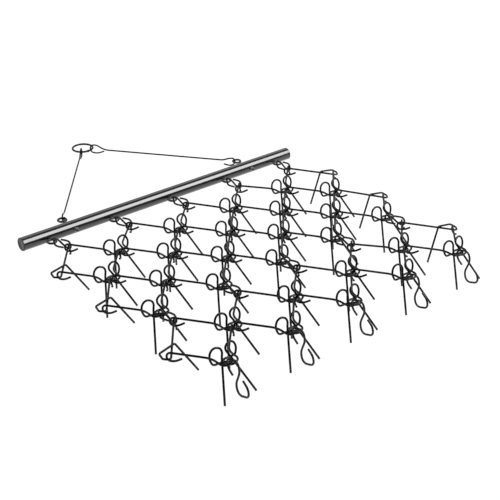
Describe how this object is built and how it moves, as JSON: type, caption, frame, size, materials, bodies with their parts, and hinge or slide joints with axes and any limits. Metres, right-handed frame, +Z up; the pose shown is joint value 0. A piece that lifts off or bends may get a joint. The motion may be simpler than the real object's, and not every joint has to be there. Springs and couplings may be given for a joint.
{
  "type": "chain harrow",
  "caption": "Flexible mat of bent steel tine rods hooked behind a tubular drawbar, with a two-rod pull bridle and tow ring, for levelling and raking ground.",
  "frame": {"origin": "on the ground below the middle of the harrow, tine tips at z = 0", "axes": "+X along the drawbar, +Y the way the harrow is towed, +Z up"},
  "size_m": [1.2812, 1.72, 0.1456],
  "materials": {
    "black_painted_tube": "gloss black paint on steel tube",
    "blackened_fastener": "blackened steel, satin",
    "bridle_rod": "black paint on drawn rod",
    "hook_rod": "dark gunmetal on bent rod",
    "tine_rod": "dark gunmetal on bent spring rod"
  },
  "bodies": {
    "drawbar": {"drawbar_tube": "black_painted_tube", "drawbar_end_caps": "black_painted_tube", "mat_eyebolts": "blackened_fastener", "pull_eyebolts": "blackened_fastener", "eyebolt_washers": "blackened_fastener", "eyebolt_nuts": "blackened_fastener"},
    "front_s_hook_1": {"front_s_hook_1": "hook_rod"},
    "front_s_hook_2": {"front_s_hook_2": "hook_rod"},
    "front_s_hook_3": {"front_s_hook_3": "hook_rod"},
    "front_s_hook_4": {"front_s_hook_4": "hook_rod"},
    "front_s_hook_5": {"front_s_hook_5": "hook_rod"},
    "row_1": {"row_1_tine_link_1": "tine_rod", "row_1_tine_link_2": "tine_rod", "row_1_tine_link_3_right": "tine_rod", "row_1_tine_link_3_left": "tine_rod", "row_1_tine_link_4": "tine_rod", "row_1_tine_link_5": "tine_rod"},
    "row_2": {"row_2_tine_link_1": "tine_rod", "row_2_tine_link_2": "tine_rod", "row_2_tine_link_3": "tine_rod", "row_2_tine_link_4": "tine_rod", "row_2_tine_link_5": "tine_rod", "row_2_tine_link_6": "tine_rod"},
    "row_3": {"row_3_tine_link_1": "tine_rod", "row_3_tine_link_2": "tine_rod", "row_3_tine_link_3": "tine_rod", "row_3_tine_link_4": "tine_rod", "row_3_tine_link_5": "tine_rod"},
    "row_4": {"row_4_tine_link_1": "tine_rod", "row_4_tine_link_2": "tine_rod", "row_4_tine_link_3": "tine_rod", "row_4_tine_link_4": "tine_rod", "row_4_tine_link_5": "tine_rod", "row_4_tine_link_6": "tine_rod"},
    "middle_s_hook_1": {"middle_s_hook_1": "hook_rod"},
    "middle_s_hook_2": {"middle_s_hook_2": "hook_rod"},
    "middle_s_hook_3": {"middle_s_hook_3": "hook_rod"},
    "middle_s_hook_4": {"middle_s_hook_4": "hook_rod"},
    "middle_s_hook_5": {"middle_s_hook_5": "hook_rod"},
    "row_5": {"row_5_tine_link_1": "tine_rod", "row_5_tine_link_2": "tine_rod", "row_5_tine_link_3_right": "tine_rod", "row_5_tine_link_3_left": "tine_rod", "row_5_tine_link_4": "tine_rod", "row_5_tine_link_5": "tine_rod"},
    "row_6": {"row_6_tine_link_1": "tine_rod", "row_6_tine_link_2": "tine_rod", "row_6_tine_link_3": "tine_rod", "row_6_tine_link_4": "tine_rod", "row_6_tine_link_5": "tine_rod", "row_6_tine_link_6": "tine_rod"},
    "rear_s_hook_1": {"rear_s_hook_1": "hook_rod"},
    "rear_s_hook_2": {"rear_s_hook_2": "hook_rod"},
    "rear_s_hook_3": {"rear_s_hook_3": "hook_rod"},
    "rear_s_hook_4": {"rear_s_hook_4": "hook_rod"},
    "rear_s_hook_5": {"rear_s_hook_5": "hook_rod"},
    "pull_rod_left": {"pull_rod_left": "bridle_rod"},
    "pull_rod_right": {"pull_rod_right": "bridle_rod"},
    "tow_ring": {"tow_ring": "bridle_rod"}
  },
  "joints": [
    {"name": "front_hook_swing_1", "type": "hinge", "parent": "drawbar", "child": "front_s_hook_1", "pos_m": [-0.5055, 0.17481, 0.10107], "axis": [1, 0, 0], "range_deg": [-20, 40]},
    {"name": "front_hook_swing_2", "type": "hinge", "parent": "drawbar", "child": "front_s_hook_2", "pos_m": [-0.25275, 0.17363, 0.10107], "axis": [1, 0, 0], "range_deg": [-20, 40]},
    {"name": "front_hook_swing_3", "type": "hinge", "parent": "drawbar", "child": "front_s_hook_3", "pos_m": [0, 0.17332, 0.10107], "axis": [1, 0, 0], "range_deg": [-20, 40]},
    {"name": "front_hook_swing_4", "type": "hinge", "parent": "drawbar", "child": "front_s_hook_4", "pos_m": [0.25275, 0.17363, 0.10107], "axis": [1, 0, 0], "range_deg": [-20, 40]},
    {"name": "front_hook_swing_5", "type": "hinge", "parent": "drawbar", "child": "front_s_hook_5", "pos_m": [0.5055, 0.17481, 0.10107], "axis": [1, 0, 0], "range_deg": [-20, 40]},
    {"name": "row_swing_1", "type": "hinge", "parent": "front_s_hook_3", "child": "row_1", "pos_m": [0, 0.10141, 0.11707], "axis": [1, 0, 0], "range_deg": [-20, 15]},
    {"name": "row_swing_2", "type": "hinge", "parent": "row_1", "child": "row_2", "pos_m": [0, -0.03779, 0.10287], "axis": [1, 0, 0], "range_deg": [-20, 20]},
    {"name": "row_swing_3", "type": "hinge", "parent": "row_2", "child": "row_3", "pos_m": [0, -0.17239, 0.10287], "axis": [1, 0, 0], "range_deg": [-20, 20]},
    {"name": "row_swing_4", "type": "hinge", "parent": "row_3", "child": "row_4", "pos_m": [0, -0.30699, 0.10287], "axis": [1, 0, 0], "range_deg": [-20, 20]},
    {"name": "middle_hook_swing_1", "type": "hinge", "parent": "row_4", "child": "middle_s_hook_1", "pos_m": [-0.5, -0.4457, 0.10342], "axis": [1, 0, 0], "range_deg": [-20, 20]},
    {"name": "middle_hook_swing_2", "type": "hinge", "parent": "row_4", "child": "middle_s_hook_2", "pos_m": [-0.25, -0.4457, 0.10342], "axis": [1, 0, 0], "range_deg": [-20, 20]},
    {"name": "middle_hook_swing_3", "type": "hinge", "parent": "row_4", "child": "middle_s_hook_3", "pos_m": [0, -0.4457, 0.10342], "axis": [1, 0, 0], "range_deg": [-20, 20]},
    {"name": "middle_hook_swing_4", "type": "hinge", "parent": "row_4", "child": "middle_s_hook_4", "pos_m": [0.25, -0.4457, 0.10342], "axis": [1, 0, 0], "range_deg": [-20, 20]},
    {"name": "middle_hook_swing_5", "type": "hinge", "parent": "row_4", "child": "middle_s_hook_5", "pos_m": [0.5, -0.4457, 0.10342], "axis": [1, 0, 0], "range_deg": [-20, 20]},
    {"name": "row_swing_5", "type": "hinge", "parent": "middle_s_hook_3", "child": "row_5", "pos_m": [0, -0.50399, 0.11707], "axis": [1, 0, 0], "range_deg": [-20, 15]},
    {"name": "row_swing_6", "type": "hinge", "parent": "row_5", "child": "row_6", "pos_m": [0, -0.64319, 0.10287], "axis": [1, 0, 0], "range_deg": [-20, 20]},
    {"name": "rear_hook_swing_1", "type": "hinge", "parent": "row_6", "child": "rear_s_hook_1", "pos_m": [-0.5, -0.7819, 0.10342], "axis": [1, 0, 0], "range_deg": [-60, 10]},
    {"name": "rear_hook_swing_2", "type": "hinge", "parent": "row_6", "child": "rear_s_hook_2", "pos_m": [-0.25, -0.7819, 0.10342], "axis": [1, 0, 0], "range_deg": [-60, 10]},
    {"name": "rear_hook_swing_3", "type": "hinge", "parent": "row_6", "child": "rear_s_hook_3", "pos_m": [0, -0.7819, 0.10342], "axis": [1, 0, 0], "range_deg": [-60, 10]},
    {"name": "rear_hook_swing_4", "type": "hinge", "parent": "row_6", "child": "rear_s_hook_4", "pos_m": [0.25, -0.7819, 0.10342], "axis": [1, 0, 0], "range_deg": [-60, 10]},
    {"name": "rear_hook_swing_5", "type": "hinge", "parent": "row_6", "child": "rear_s_hook_5", "pos_m": [0.5, -0.7819, 0.10342], "axis": [1, 0, 0], "range_deg": [-60, 10]},
    {"name": "pull_rod_lift_left", "type": "hinge", "parent": "drawbar", "child": "pull_rod_left", "pos_m": [-0.40403, 0.31577, 0.10107], "axis": [1, 0, 0], "range_deg": [-12, 45]},
    {"name": "pull_rod_lift_right", "type": "hinge", "parent": "drawbar", "child": "pull_rod_right", "pos_m": [0.40403, 0.31577, 0.10107], "axis": [1, 0, 0], "range_deg": [-12, 45]},
    {"name": "tow_ring_swing", "type": "hinge", "parent": "pull_rod_left", "child": "tow_ring", "pos_m": [0, 0.78285, 0.10107], "axis": [1, 0, 0], "range_deg": [-35, 35]}
  ],
  "couplings": [
    {"joint": "front_hook_swing_1", "follows": "front_hook_swing_3", "ratio": 0.9797},
    {"joint": "front_hook_swing_2", "follows": "front_hook_swing_3", "ratio": 0.9957},
    {"joint": "front_hook_swing_4", "follows": "front_hook_swing_3", "ratio": 0.9957},
    {"joint": "front_hook_swing_5", "follows": "front_hook_swing_3", "ratio": 0.9797},
    {"joint": "middle_hook_swing_1", "follows": "middle_hook_swing_3", "ratio": 1},
    {"joint": "middle_hook_swing_2", "follows": "middle_hook_swing_3", "ratio": 1},
    {"joint": "middle_hook_swing_4", "follows": "middle_hook_swing_3", "ratio": 1},
    {"joint": "middle_hook_swing_5", "follows": "middle_hook_swing_3", "ratio": 1},
    {"joint": "pull_rod_lift_right", "follows": "pull_rod_lift_left", "ratio": 1}
  ]
}
